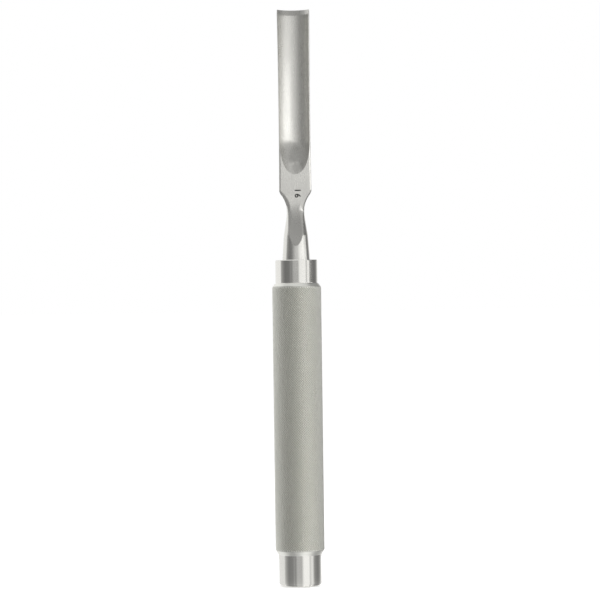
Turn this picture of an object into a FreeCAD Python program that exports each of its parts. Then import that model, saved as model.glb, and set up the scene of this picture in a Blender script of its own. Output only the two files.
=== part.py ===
import FreeCAD, Part
import math
import os
import re
import Sketcher

# Straight bone gouge with a round knurled grip, standing on its strike cap.
# Origin at the centre of the cap's flat end. +Z runs up to the cutting edge, and the flute
# opens towards -Y. All sizes are in millimetres.
SIZES = {
    # Grip: a straight tube with a bevel at each end.
    "grip_length": 131.8,
    "grip_diameter": 23.8,
    "grip_wall": 3.0,
    "lower_bevel_height": 2.6,
    "lower_bevel_depth": 1.45,
    "upper_bevel_height": 1.8,
    "upper_bevel_depth": 1.2,
    # Strike cap: a turned plug, slightly relieved below the grip.
    "cap_height": 15.0,
    "cap_edge_round": 1.5,
    "cap_relief_depth": 0.12,
    "cap_relief_drop": 2.6,
    "cap_spigot_length": 18.0,
    # Front ferrule: a collar with a spigot below and a bore for the tang.
    "collar_height": 11.5,
    "collar_root_round": 0.4,
    "collar_edge_bevel": 0.3,
    "collar_spigot_length": 24.0,
    "spigot_bevel": 0.8,
    "fit_clearance": 0.05,
    # Tang and round shank. Heights count from the collar's upper face.
    "tang_diameter": 9.0,
    "tang_length": 30.0,
    "tang_bevel": 0.6,
    "shank_root_diameter": 13.5,
    "shank_knee_height": 12.0,
    "shank_knee_diameter": 11.75,
    "neck_height": 23.7,
    "neck_diameter": 8.6,
    "neck_curve_span": 4.0,
    "neck_curve_radius": 25.0,
    "flare_radius": 13.4,
    # Blade blank: flat in front, convex behind, slightly waisted between shoulder and tip.
    "bar_allowance": 0.25,
    "blade_reach": 121.7,
    "tip_width": 15.9,
    "tip_flare": 0.3,
    "waist_below_tip": 47.7,
    "face_offset": 2.6,
    "face_above_neck": 8.0,
    "face_grind_radius": 85.0,
    "back_grind_radius": 85.0,
    "rim_round": 0.9,
    "back_edge_round": 0.6,
    # Flute, and the bevels that meet at the cutting edge.
    "flute_depth": 4.6,
    "flute_rim": 0.28,
    "flute_wall": 2.0,
    "flute_end_above_neck": 17.9,
    "flute_exit_radius": 36.0,
    "outer_bevel_length": 7.0,
    "inner_bevel_length": 2.3,
    "edge_thickness": 0.08,
    "corner_trim": 0.05,
    # Room by which a cutter starts or ends outside the steel.
    "cutter_overrun": 1.0,
}

# Sizes that follow from the driving ones.
FORMULAS = {
    "grip_radius": "grip_diameter / 2",
    "bore_radius": "grip_radius - grip_wall",
    "spigot_radius": "bore_radius - fit_clearance",
    "cap_top_radius": "grip_radius - lower_bevel_depth",
    "cap_radius": "cap_top_radius - cap_relief_depth",
    "collar_radius": "grip_radius - upper_bevel_depth - collar_root_round",
    "tang_radius": "tang_diameter / 2",
    "tang_bore_radius": "tang_radius + fit_clearance",
    "root_radius": "shank_root_diameter / 2",
    "knee_radius": "shank_knee_diameter / 2",
    "neck_radius": "neck_diameter / 2",
    "neck_curve_rise": "neck_curve_radius - sqrt(neck_curve_radius ^ 2 - neck_curve_span ^ 2)",
    "tip_half": "tip_width / 2",
    "waist_half": "tip_half - tip_flare",
    "waist_height": "blade_reach - waist_below_tip",
    "side_radius": "(waist_below_tip ^ 2 + tip_flare ^ 2) / (2 * tip_flare)",
    "bar_radius": "sqrt(tip_half ^ 2 + face_offset ^ 2) + bar_allowance",
    "flare_rise": "sqrt(flare_radius ^ 2 - (flare_radius + neck_radius - bar_radius) ^ 2)",
    "side_bulge": "side_radius - sqrt(side_radius ^ 2 - (waist_height - neck_height) ^ 2)",
    "cutter_top": "blade_reach + cutter_overrun",
    "block_half": "bar_radius + root_radius",
    "face_start": "neck_height + face_above_neck",
    "face_exit_depth": "block_half - face_offset",
    "face_exit_run": "sqrt(face_grind_radius ^ 2 - (face_grind_radius - face_exit_depth) ^ 2)",
    "flute_half": "waist_half - flute_rim",
    "flute_radius": "(flute_half ^ 2 + flute_depth ^ 2) / (2 * flute_depth)",
    "flute_axis": "flute_depth - face_offset - flute_radius",
    "flute_bottom": "flute_depth - face_offset",
    "flute_end": "neck_height + flute_end_above_neck",
    "flute_exit_length": "sqrt(flute_exit_radius ^ 2 - (flute_exit_radius - flute_depth) ^ 2)",
    "flute_exit_start": "flute_end + flute_exit_length",
    "flute_exit_depth": "flute_depth + cutter_overrun",
    "flute_exit_run": "sqrt(flute_exit_radius ^ 2 - (flute_exit_radius - flute_exit_depth) ^ 2)",
    "back_radius": "flute_radius + flute_wall",
    "back_offset": "flute_bottom + flute_wall",
    "back_exit_depth": "block_half - back_offset",
    "back_exit_run": "sqrt(back_grind_radius ^ 2 - (back_grind_radius - back_exit_depth) ^ 2)",
    "corner_radius": "sqrt(tip_half ^ 2 + (face_offset + flute_axis) ^ 2)",
    "outer_edge_radius": "corner_radius - corner_trim",
    "inner_edge_radius": "outer_edge_radius - edge_thickness",
}

# The bevels' cutters reach this many times the bevel's own length, to run out of the steel.
BEVEL_REACH = 1.3
# An edge this near the plane of the face counts as lying in it.
FACE_TOLERANCE = 0.1
# The side of the way from start to end on which an arc has its centre.
LEFT = 1
RIGHT = -1

doc = FreeCAD.newDocument("bone_gouge")
sizes = doc.addObject("Spreadsheet::Sheet", "sizes")


def fill_sheet():
    """Writes each driving size as a number with its name as the alias."""
    for row, (name, size) in enumerate(SIZES.items(), start=1):
        sizes.set(f"A{row}", name)
        sizes.set(f"B{row}", str(size))
        sizes.setAlias(f"B{row}", name)
    doc.recompute()


def bound(text):
    """The text with every size named in it written as a reference to the sheet."""
    def reference(match):
        word = match.group(0)
        if word in SIZES:
            return f"sizes.{word}"
        if word in FORMULAS:
            return f"({bound(FORMULAS[word])})"
        return word

    return re.sub(r"[a-z_]+", reference, text)


def number(text):
    """The value that the sheet gives for a size or a sum of sizes."""
    return float(sizes.evalExpression(bound(text)))


def new_body(label):
    body = doc.addObject("PartDesign::Body", label)
    body.Label = label
    return body


def new_sketch(body, name, plane, height=None):
    """A sketch on one of the body's own origin planes, raised by a height along its normal."""
    sketch = body.newObject("Sketcher::SketchObject", name)
    origin_plane = next(f for f in body.Origin.OriginFeatures if f.Role == plane)
    sketch.AttachmentSupport = [(origin_plane, "")]
    sketch.MapMode = "FlatFace"
    if height is not None:
        sketch.setExpression("AttachmentOffset.Base.z", bound(height))
    return sketch


def hold(sketch, kind, name, places, text):
    """Adds a size to a sketch and binds it to the sheet."""
    index = sketch.addConstraint(Sketcher.Constraint(kind, *places, number(text)))
    sketch.renameConstraint(index, name)
    sketch.setExpression(f"Constraints.{name}", bound(text))


def hold_point(sketch, name, geometry, place, point):
    """Fixes a point across and along from the sketch's origin, or on an axis where it is 0."""
    upright_axis, level_axis = -2, -1
    directions = (("across", "DistanceX", upright_axis), ("along", "DistanceY", level_axis))
    for text, (way, kind, axis) in zip(point, directions):
        if text == "0":
            sketch.addConstraint(Sketcher.Constraint("PointOnObject", geometry, place, axis))
        else:
            hold(sketch, kind, f"{name}_{way}", (-1, 1, geometry, place), text)


def arc_between(start, end, radius, side):
    """The shorter arc from start to end, whose centre is to the LEFT or RIGHT of the way there."""
    chord = end - start
    reach = math.sqrt(radius ** 2 - (chord.Length / 2) ** 2)
    across = FreeCAD.Vector(-chord.y, chord.x, 0).normalize()
    centre = (start + end) / 2 + across * reach * side
    first, last = (start, end) if side == LEFT else (end, start)
    angles = [math.atan2(p.y - centre.y, p.x - centre.x) for p in (first, last)]
    return Part.ArcOfCircle(Part.Circle(centre, FreeCAD.Vector(0, 0, 1), radius), *angles)


def draw(sketch, tag, points, arcs=None, closed=True):
    """Draws edges through points given in sizes. arcs names the edges that are arcs, by their
    first point: radius and the side of the centre."""
    arcs = arcs or {}
    names = list(points)
    spots = [FreeCAD.Vector(number(x), number(y), 0) for x, y in points.values()]
    count = len(names) if closed else len(names) - 1
    edges = []
    for i in range(count):
        start, end = spots[i], spots[(i + 1) % len(spots)]
        if names[i] in arcs:
            radius, side = arcs[names[i]]
            geometry = sketch.addGeometry(arc_between(start, end, number(radius), side), False)
            hold(sketch, "Radius", f"{tag}_{names[i]}_radius", (geometry,), radius)
            edges.append((geometry, 1, 2) if side == LEFT else (geometry, 2, 1))
        else:
            edges.append((sketch.addGeometry(Part.LineSegment(start, end), False), 1, 2))
    for i in range(1, count):
        join(sketch, edges[i - 1], edges[i])
    if closed:
        join(sketch, edges[-1], edges[0])
    for name, (geometry, first, last) in zip(names, edges):
        hold_point(sketch, f"{tag}_{name}", geometry, first, points[name])
    if not closed:
        geometry, first, last = edges[-1]
        hold_point(sketch, f"{tag}_{names[-1]}", geometry, last, points[names[-1]])


def join(sketch, before, after):
    """Ties the end of one edge to the start of the next."""
    sketch.addConstraint(Sketcher.Constraint("Coincident", before[0], before[2], after[0], after[1]))


def turned(body, name, points, arcs=None):
    """Turns a profile, given as radius and height, about the body's Z axis."""
    sketch = new_sketch(body, f"{name}_profile", "XZ_Plane")
    draw(sketch, "turned", points, arcs)
    turning = body.newObject("PartDesign::Revolution", name)
    turning.Profile = sketch
    turning.ReferenceAxis = (sketch, ["V_Axis"])
    turning.Angle = 360
    return turning


def stand_at(body, height):
    """Raises a piece to its seat above the strike cap's flat end."""
    body.setExpression("Placement.Base.z", bound(height))


def make_strike_cap():
    """The end cap that takes the mallet, with the spigot that fits the grip."""
    body = new_body("strike_cap")
    points = {
        "centre": ("0", "0"),
        "face": ("cap_radius - cap_edge_round", "0"),
        "side": ("cap_radius", "cap_edge_round"),
        "relief": ("cap_radius", "cap_height - cap_relief_drop"),
        "top": ("cap_top_radius", "cap_height"),
        "seat": ("spigot_radius", "cap_height"),
        "spigot": ("spigot_radius", "cap_height + cap_spigot_length - spigot_bevel"),
        "spigot_end": ("spigot_radius - spigot_bevel", "cap_height + cap_spigot_length"),
        "spigot_centre": ("0", "cap_height + cap_spigot_length"),
    }
    turned(body, "cap_turning", points, {"face": ("cap_edge_round", LEFT)})
    return body


def make_grip_tube():
    """The straight grip, at the crests of its knurl."""
    body = new_body("grip_tube")
    points = {
        "bore": ("bore_radius", "0"),
        "end": ("grip_radius - lower_bevel_depth", "0"),
        "lower": ("grip_radius", "lower_bevel_height"),
        "upper": ("grip_radius", "grip_length - upper_bevel_height"),
        "shoulder": ("grip_radius - upper_bevel_depth", "grip_length"),
        "bore_top": ("bore_radius", "grip_length"),
    }
    turned(body, "grip_turning", points)
    stand_at(body, "cap_height")
    return body


def make_front_ferrule():
    """The collar, its spigot inside the grip, and the bore for the tang."""
    body = new_body("front_ferrule")
    points = {
        "bore": ("tang_bore_radius", "-collar_spigot_length"),
        "spigot_end": ("spigot_radius - spigot_bevel", "-collar_spigot_length"),
        "spigot": ("spigot_radius", "spigot_bevel - collar_spigot_length"),
        "seat": ("spigot_radius", "0"),
        "root": ("collar_radius + collar_root_round", "0"),
        "side": ("collar_radius", "collar_root_round"),
        "edge": ("collar_radius", "collar_height - collar_edge_bevel"),
        "top": ("collar_radius - collar_edge_bevel", "collar_height"),
        "bore_top": ("tang_bore_radius", "collar_height"),
    }
    turned(body, "ferrule_turning", points, {"root": ("collar_root_round", RIGHT)})
    stand_at(body, "cap_height + grip_length")
    return body


def cut(body, kind, name, **settings):
    """A cut from a sketch, checked to take steel away."""
    doc.recompute()
    before = body.Shape.Volume
    feature = body.newObject(kind, name)
    for key, setting in settings.items():
        setattr(feature, key, setting)
    doc.recompute()
    if not body.Shape.Volume < before:
        raise RuntimeError(f"{name} cuts nothing")
    return feature


def forge_blank(body):
    """A block that has the blade's two sides above the neck, narrowest at the waist."""
    sketch = new_sketch(body, "blank_profile", "XZ_Plane")
    points = {
        "foot_left": ("-block_half", "-tang_length - cutter_overrun"),
        "foot_right": ("block_half", "-tang_length - cutter_overrun"),
        "block_right": ("block_half", "neck_height"),
        "start_right": ("waist_half + side_bulge", "neck_height"),
        "tip_right": ("tip_half", "blade_reach"),
        "tip_left": ("-tip_half", "blade_reach"),
        "start_left": ("-waist_half - side_bulge", "neck_height"),
        "block_left": ("-block_half", "neck_height"),
    }
    arcs = {"start_right": ("side_radius", RIGHT), "tip_left": ("side_radius", RIGHT)}
    draw(sketch, "blank", points, arcs)
    blank = body.newObject("PartDesign::Pad", "blank")
    blank.Profile = sketch
    blank.Midplane = True
    blank.setExpression("Length", bound("2 * block_half"))


def grind_face(body):
    """The flat face of the blade, scooped out to run off the front of the shank."""
    sketch = new_sketch(body, "face_profile", "YZ_Plane")
    points = {
        "exit": ("-block_half", "face_start - face_exit_run"),
        "start": ("-face_offset", "face_start"),
        "top": ("-face_offset", "cutter_top"),
        "outer_top": ("-block_half", "cutter_top"),
    }
    draw(sketch, "face", points, {"exit": ("face_grind_radius", LEFT)})
    cut(body, "PartDesign::Pocket", "face_grind", Profile=sketch, Type="ThroughAll", Midplane=True)


def sweep(body, name, profile, spine_points, spine_arcs):
    """Cuts along a spine in the YZ plane that starts above the tip."""
    spine = new_sketch(body, f"{name}_spine", "YZ_Plane")
    draw(spine, "spine", spine_points, spine_arcs, closed=False)
    doc.recompute()
    cut(body, "PartDesign::SubtractivePipe", name, Profile=profile, Spine=(spine, ["Edge1", "Edge2"]))


def grind_back(body):
    """The convex back, concentric with the flute, run off at the neck."""
    profile = new_sketch(body, "back_profile", "XY_Plane", "cutter_top")
    outside = "back_radius + block_half"
    points = {
        "right": ("back_radius", "flute_axis"),
        "crown": ("0", "back_offset"),
        "left": ("-back_radius", "flute_axis"),
        "outer_left": (f"-({outside})", "flute_axis"),
        "far_left": (f"-({outside})", "back_offset + block_half"),
        "far_right": (outside, "back_offset + block_half"),
        "outer_right": (outside, "flute_axis"),
    }
    draw(profile, "back", points, {"right": ("back_radius", LEFT), "crown": ("back_radius", LEFT)})
    spine = {
        "top": ("back_offset", "cutter_top"),
        "start": ("back_offset", "face_start"),
        "exit": ("back_offset + back_exit_depth", "face_start - back_exit_run"),
    }
    sweep(body, "back_grind", profile, spine, {"start": ("back_grind_radius", LEFT)})


def round_long_edges(body, name, radius, in_front):
    """Rounds the two long edges that lie in the plane of the face, or the two behind them."""
    doc.recompute()
    base = body.Tip
    face = -number("face_offset")
    names = []
    for index, edge in enumerate(base.Shape.Edges, start=1):
        on_face = abs(edge.BoundBox.YMax - face) < FACE_TOLERANCE
        if edge.Length > number("waist_below_tip") and on_face == in_front:
            names.append(f"Edge{index}")
    rounding = body.newObject("PartDesign::Fillet", name)
    rounding.Base = (base, names)
    rounding.setExpression("Radius", bound(radius))


def turn_shank(body):
    """Turns the block to tang, shank, waisted neck and a flare that ends at the shoulders."""
    sketch = new_sketch(body, "shank_profile", "XZ_Plane")
    outside = "2 * block_half"
    points = {
        "foot": ("0", "-tang_length - cutter_overrun"),
        "tang_centre": ("0", "-tang_length"),
        "tang_end": ("tang_radius - tang_bevel", "-tang_length"),
        "tang": ("tang_radius", "tang_bevel - tang_length"),
        "seat": ("tang_radius", "0"),
        "root": ("root_radius", "0"),
        "knee": ("knee_radius", "shank_knee_height"),
        "curve": ("neck_radius + neck_curve_rise", "neck_height - neck_curve_span"),
        "neck": ("neck_radius", "neck_height"),
        "shoulder": ("bar_radius", "neck_height + flare_rise"),
        "outside_top": (outside, "neck_height + flare_rise"),
        "outside_foot": (outside, "-tang_length - cutter_overrun"),
    }
    arcs = {"curve": ("neck_curve_radius", RIGHT), "neck": ("flare_radius", RIGHT)}
    draw(sketch, "shank", points, arcs)
    doc.recompute()
    axis = (sketch, ["V_Axis"])
    cut(body, "PartDesign::Groove", "shank_turning", Profile=sketch, ReferenceAxis=axis, Angle=360)


def cut_flute(body):
    """A round-bottomed flute that rises out of the face in one large curve."""
    profile = new_sketch(body, "flute_profile", "XY_Plane", "cutter_top")
    centre = FreeCAD.Vector(0, number("flute_axis"), 0)
    circle = Part.Circle(centre, FreeCAD.Vector(0, 0, 1), number("flute_radius"))
    ring = profile.addGeometry(circle, False)
    hold_point(profile, "axis", ring, 3, ("0", "flute_axis"))
    hold(profile, "Radius", "flute_size", (ring,), "flute_radius")
    spine = {
        "top": ("flute_bottom", "cutter_top"),
        "start": ("flute_bottom", "flute_exit_start"),
        "exit": ("flute_bottom - flute_exit_depth", "flute_exit_start - flute_exit_run"),
    }
    sweep(body, "flute", profile, spine, {"start": ("flute_exit_radius", RIGHT)})


def bevel(body, name, points):
    """Turns a bevel about the flute's own axis."""
    sketch = new_sketch(body, f"{name}_profile", "YZ_Plane")
    draw(sketch, "bevel", points)
    across = number("flute_axis")
    low, high = (FreeCAD.Vector(across, number(z), 0) for z in ("waist_height", "cutter_top"))
    axis = sketch.addGeometry(Part.LineSegment(low, high), True)
    hold_point(sketch, "axis_low", axis, 1, ("flute_axis", "waist_height"))
    hold_point(sketch, "axis_high", axis, 2, ("flute_axis", "cutter_top"))
    doc.recompute()
    cut(body, "PartDesign::Groove", name, Profile=sketch, ReferenceAxis=(sketch, ["Axis0"]), Angle=360)


def grind_tip(body):
    """A long bevel outside and a short one inside, which meet at the cutting edge."""
    outer_low = f"blade_reach - outer_bevel_length * {BEVEL_REACH}"
    outer_heel = f"outer_edge_radius + (back_radius - outer_edge_radius) * {BEVEL_REACH}"
    outer = {
        "edge": ("flute_axis + outer_edge_radius", "blade_reach"),
        "heel": (f"flute_axis + {outer_heel}", outer_low),
        "outside": (f"flute_axis + {outer_heel} + cutter_overrun", outer_low),
        "outside_top": (f"flute_axis + {outer_heel} + cutter_overrun", "cutter_top"),
        "edge_top": ("flute_axis + outer_edge_radius", "cutter_top"),
    }
    bevel(body, "outer_bevel", outer)
    inner_low = f"blade_reach - inner_bevel_length * {BEVEL_REACH}"
    inner_heel = f"inner_edge_radius - (inner_edge_radius - flute_radius) * {BEVEL_REACH}"
    inner = {
        "edge": ("flute_axis + inner_edge_radius", "blade_reach"),
        "edge_top": ("flute_axis + inner_edge_radius", "cutter_top"),
        "axis_top": ("flute_axis", "cutter_top"),
        "axis_low": ("flute_axis", inner_low),
        "heel": (f"flute_axis + {inner_heel}", inner_low),
    }
    bevel(body, "inner_bevel", inner)


def make_gouge_blade():
    """Tang, round shank and blade in one piece: ground, turned below the blade, then fluted."""
    body = new_body("gouge_blade")
    forge_blank(body)
    grind_face(body)
    grind_back(body)
    round_long_edges(body, "back_rounding", "back_edge_round", in_front=False)
    round_long_edges(body, "rim_rounding", "rim_round", in_front=True)
    turn_shank(body)
    cut_flute(body)
    grind_tip(body)
    stand_at(body, "cap_height + grip_length + collar_height")
    return body


def check(bodies):
    """Stops before anything is written if a feature failed or a piece isn't one valid solid."""
    for item in doc.Objects:
        if "Invalid" in item.State or "Error" in item.State:
            raise RuntimeError(f"{item.Name} failed: {item.State}")
    for body in bodies:
        shape = body.Shape
        if shape.isNull() or not shape.isValid() or len(shape.Solids) != 1:
            raise RuntimeError(f"{body.Label} isn't one valid solid")


def main():
    fill_sheet()
    bodies = [make_strike_cap(), make_grip_tube(), make_front_ferrule(), make_gouge_blade()]
    doc.recompute()
    check(bodies)
    os.makedirs("parts", exist_ok=True)
    for body in bodies:
        body.Shape.exportStep(f"parts/{body.Label}.step")
        print(body.Label, "volume in cubic millimetres:", round(body.Shape.Volume))


main()
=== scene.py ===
import bmesh
import bpy
import math
import numpy as np
from mathutils import Matrix, Vector


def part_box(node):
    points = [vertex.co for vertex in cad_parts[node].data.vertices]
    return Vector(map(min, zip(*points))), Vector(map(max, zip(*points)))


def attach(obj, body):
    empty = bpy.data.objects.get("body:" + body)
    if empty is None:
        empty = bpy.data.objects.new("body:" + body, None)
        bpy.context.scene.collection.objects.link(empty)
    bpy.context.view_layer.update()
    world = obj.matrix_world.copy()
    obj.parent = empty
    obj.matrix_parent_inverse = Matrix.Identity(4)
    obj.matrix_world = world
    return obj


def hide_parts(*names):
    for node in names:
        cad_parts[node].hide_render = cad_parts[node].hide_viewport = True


# A bone gouge standing on its strike cap. The four solids of the frame are replaced by finer
# meshes of the same form: two mirror polished turnings, a grip with a real diamond knurl, and
# a ground blade lofted from its own section at each height.
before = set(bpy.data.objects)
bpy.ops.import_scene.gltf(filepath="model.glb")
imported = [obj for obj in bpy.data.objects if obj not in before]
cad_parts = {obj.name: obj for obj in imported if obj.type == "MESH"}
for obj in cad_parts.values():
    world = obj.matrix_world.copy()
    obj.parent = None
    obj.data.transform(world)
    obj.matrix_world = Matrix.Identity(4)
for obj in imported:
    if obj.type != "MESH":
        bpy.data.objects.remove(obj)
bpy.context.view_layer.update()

MM = 0.001

# Places that the frame gives, in millimetres.
GRIP_LOW, GRIP_HIGH = (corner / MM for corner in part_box("grip_tube"))
CAP_LOW, CAP_HIGH = (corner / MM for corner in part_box("strike_cap"))
FERRULE_LOW, FERRULE_HIGH = (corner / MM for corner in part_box("front_ferrule"))
BLADE_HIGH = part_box("gouge_blade")[1] / MM

# Turned pieces, in millimetres, as the solids have them.
GRIP_RADIUS = 11.9
BORE_RADIUS = 8.9
LOWER_BEVEL = (1.45, 2.6)
UPPER_BEVEL = (1.2, 1.8)
FIT_CLEARANCE = 0.05
SPIGOT_BEVEL = 0.8
CAP_EDGE_ROUND = 1.5
CAP_RELIEF = (0.12, 2.6)
COLLAR_RADIUS = 10.3
COLLAR_ROOT_ROUND = 0.4
COLLAR_EDGE_BEVEL = 0.3
TANG_RADIUS = 4.5
TURNED_SEGMENTS = 160
# A ring this far from each corner keeps the reflection straight up to the corner.
SUPPORT_RING = 0.15
# Points nearer than this become one, and edges shorter than the second are taken out.
WELD = 0.001
SLIVER = 0.0005

# Diamond knurl. Its crests lie on the grip's radius. A crest's flat top is CREST_SHARE of its
# diamond, and a plain land lies between the knurl and each bevel.
DIAMONDS_AROUND = 62
KNURL_DEPTH = 0.3
CREST_SHARE = 0.5
KNURL_LAND = 0.1
# Diamonds join within this share of a pitch, and the wrapped sheet joins the grip within
# this many millimetres.
DIAMOND_WELD = 0.01
SHEET_WELD = 0.002

# Edges sharper than this are drawn as edges, the rest as one smooth surface.
SHARP_EDGE = math.radians(24)

# Most values of a noise texture lie between these.
NOISE_LOW, NOISE_HIGH = 0.3, 0.7


def hex_colour(text):
    """A colour written as sRGB hex, turned to linear."""
    channels = (int(text[i:i + 2], 16) / 255 for i in (0, 2, 4))
    linear = (c / 12.92 if c <= 0.04045 else ((c + 0.055) / 1.055) ** 2.4 for c in channels)
    return (*linear, 1.0)


def add(tree, kind, inputs=None, **settings):
    """Adds a node with its settings. An input takes a value or another node's output."""
    made = tree.nodes.new(kind)
    for name, value in settings.items():
        setattr(made, name, value)
    for name, value in (inputs or {}).items():
        if isinstance(value, bpy.types.NodeSocket):
            tree.links.new(value, made.inputs[name])
        else:
            made.inputs[name].default_value = value
    return made


def new_material(name):
    """An empty node material and its tree."""
    material = bpy.data.materials.new(name)
    material.use_nodes = True
    material.node_tree.nodes.clear()
    return material, material.node_tree


def lined_steel(name, colour, roughness, spread, line_gap, cloud_size, depth, pull, along):
    """Bare stainless steel with fine lines left by its last abrasive.

    The roughness wanders by spread. line_gap and cloud_size are (x, y, z) in millimetres: how
    far apart the lines and the cloudy patches lie along each axis. depth is the lines' height
    in millimetres. pull is how far they smear a reflection across themselves. along is true
    for lines that run up the object, false for lines round it.
    """
    material, tree = new_material(name)
    place = add(tree, "ShaderNodeTexCoord").outputs["Object"]
    scale = [1 / (gap * MM) for gap in line_gap]
    stretched = add(tree, "ShaderNodeMapping", {"Vector": place, "Scale": scale})
    lines = add(tree, "ShaderNodeTexNoise", {
        "Vector": stretched.outputs["Vector"], "Scale": 1.0, "Detail": 3.0, "Roughness": 0.6})
    cloud_scale = [1 / (size * MM) for size in cloud_size]
    clouds_place = add(tree, "ShaderNodeMapping", {"Vector": place, "Scale": cloud_scale})
    clouds = add(tree, "ShaderNodeTexNoise", {
        "Vector": clouds_place.outputs["Vector"], "Scale": 1.0, "Detail": 2.0})
    mixed = add(tree, "ShaderNodeMath", {0: lines.outputs["Fac"], 1: clouds.outputs["Fac"]},
                operation="ADD")
    gloss = add(tree, "ShaderNodeMapRange", {
        "Value": mixed.outputs["Value"], "From Min": 0.7, "From Max": 1.3,
        "To Min": roughness - spread, "To Max": roughness + spread})
    tone = add(tree, "ShaderNodeMapRange", {
        "Value": lines.outputs["Fac"], "From Min": NOISE_LOW, "From Max": NOISE_HIGH,
        "To Min": 0.96, "To Max": 1.0})
    tinted = add(tree, "ShaderNodeVectorMath", {0: hex_colour(colour)[:3]}, operation="SCALE")
    tree.links.new(tone.outputs["Result"], tinted.inputs["Scale"])
    bump = add(tree, "ShaderNodeBump", {
        "Height": lines.outputs["Fac"], "Strength": 0.5, "Distance": depth * MM})
    round_axis = add(tree, "ShaderNodeTangent", direction_type="RADIAL", axis="Z")
    shader = add(tree, "ShaderNodeBsdfPrincipled", {
        "Base Color": tinted.outputs["Vector"], "Metallic": 1.0,
        "Roughness": gloss.outputs["Result"], "Normal": bump.outputs["Normal"],
        "Anisotropic": pull, "Anisotropic Rotation": 0.0 if along else 0.25,
        "Tangent": round_axis.outputs["Tangent"]})
    add(tree, "ShaderNodeOutputMaterial", {"Surface": shader.outputs["BSDF"]})
    return material


def mirror_polished_steel():
    """Stainless steel buffed on the lathe: a mirror, with faint rings from the wheel."""
    return lined_steel("mirror_polished_stainless_steel", "e6e5e0", 0.11, 0.02,
                       line_gap=(40, 40, 0.12), cloud_size=(6, 6, 6), depth=0.001,
                       pull=0.4, along=False)


def polished_shank_steel():
    """Stainless steel polished by hand round the shank: bright, slightly softer than the collar."""
    return lined_steel("hand_polished_stainless_steel", "e2e1dc", 0.2, 0.04,
                       line_gap=(1.5, 1.5, 0.2), cloud_size=(5, 5, 5), depth=0.002,
                       pull=0.3, along=False)


def lathe_turned_steel():
    """Stainless steel as the lathe leaves it on the grip's bevels: light and softly shining."""
    return lined_steel("lathe_turned_stainless_steel", "f2f2ec", 0.42, 0.05,
                       line_gap=(40, 40, 0.2), cloud_size=(5, 5, 5), depth=0.002,
                       pull=0.3, along=False)


def satin_ground_steel():
    """Stainless steel ground along the blade: soft reflections, drawn out by lengthwise lines.

    The real lines are about 0.05 mm apart. They are drawn 0.16 mm apart, so that they show.
    """
    return lined_steel("satin_ground_stainless_steel", "deddd8", 0.28, 0.03,
                       line_gap=(0.16, 0.16, 22), cloud_size=(3, 3, 9), depth=0.002,
                       pull=1.0, along=True)


def knurled_steel():
    """Stainless steel with a rolled diamond knurl: bright crests over darker grooves, the darkness
    being painted shade in the base colour.
    """
    material, tree = new_material("rolled_knurl_stainless_steel")
    place = add(tree, "ShaderNodeTexCoord").outputs["Object"]
    across = add(tree, "ShaderNodeVectorMath", {0: place, 1: (1, 1, 0)}, operation="MULTIPLY")
    radius = add(tree, "ShaderNodeVectorMath", {0: across.outputs["Vector"]}, operation="LENGTH")
    crest = add(tree, "ShaderNodeMapRange", {
        "Value": radius.outputs["Value"],
        "From Min": (GRIP_RADIUS - KNURL_DEPTH) * MM, "From Max": GRIP_RADIUS * MM,
        "To Min": 0.0, "To Max": 1.0})
    grain = add(tree, "ShaderNodeTexNoise", {"Vector": place, "Scale": 900.0, "Detail": 3.0})
    # Painted shade: the base colour darkens from the crests down into the groove roots.
    tone = add(tree, "ShaderNodeMix", {
        "Factor": crest.outputs["Result"], "A": hex_colour("d9d9d2"), "B": hex_colour("f1f1ea")},
        data_type="RGBA")
    gloss = add(tree, "ShaderNodeMapRange", {
        "Value": grain.outputs["Fac"], "From Min": NOISE_LOW, "From Max": NOISE_HIGH,
        "To Min": 0.42, "To Max": 0.54})
    shader = add(tree, "ShaderNodeBsdfPrincipled", {
        "Metallic": 1.0, "Roughness": gloss.outputs["Result"]})
    tree.links.new(tone.outputs[2], shader.inputs["Base Color"])
    add(tree, "ShaderNodeOutputMaterial", {"Surface": shader.outputs["BSDF"]})
    return material


def etched_mark():
    """Acid etched steel: a dull dark grey."""
    material, tree = new_material("acid_etched_steel")
    place = add(tree, "ShaderNodeTexCoord").outputs["Object"]
    grain = add(tree, "ShaderNodeTexNoise", {"Vector": place, "Scale": 9000.0, "Detail": 2.0})
    gloss = add(tree, "ShaderNodeMapRange", {
        "Value": grain.outputs["Fac"], "From Min": NOISE_LOW, "From Max": NOISE_HIGH,
        "To Min": 0.55, "To Max": 0.75})
    shader = add(tree, "ShaderNodeBsdfPrincipled", {
        "Base Color": hex_colour("343432"), "Metallic": 0.3, "Roughness": gloss.outputs["Result"]})
    add(tree, "ShaderNodeOutputMaterial", {"Surface": shader.outputs["BSDF"]})
    return material


def supported(profile):
    """The profile with a point close to both ends of each long run."""
    points = []
    for start, end in zip(profile, profile[1:] + profile[:1]):
        points.append(start)
        run = math.dist(start, end)
        if run > 3 * SUPPORT_RING:
            for share in (SUPPORT_RING / run, 1 - SUPPORT_RING / run):
                points.append(tuple(a + (b - a) * share for a, b in zip(start, end)))
    return points


def arc(centre, radius, start, end, steps=10):
    """Points on an arc of a profile, with its angles in degrees from the radius direction."""
    angles = (math.radians(start + (end - start) * i / steps) for i in range(steps + 1))
    return [(centre[0] + radius * math.cos(a), centre[1] + radius * math.sin(a)) for a in angles]


def finish_mesh(bm, mesh):
    """Merges doubles, turns the faces outwards and marks the edges that stay sharp."""
    bmesh.ops.remove_doubles(bm, verts=bm.verts, dist=WELD * MM)
    bmesh.ops.dissolve_degenerate(bm, edges=bm.edges, dist=SLIVER * MM)
    bmesh.ops.recalc_face_normals(bm, faces=bm.faces)
    for edge in bm.edges:
        if len(edge.link_faces) == 2 and edge.calc_face_angle() > SHARP_EDGE:
            edge.smooth = False
    bm.to_mesh(mesh)
    bm.free()


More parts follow.
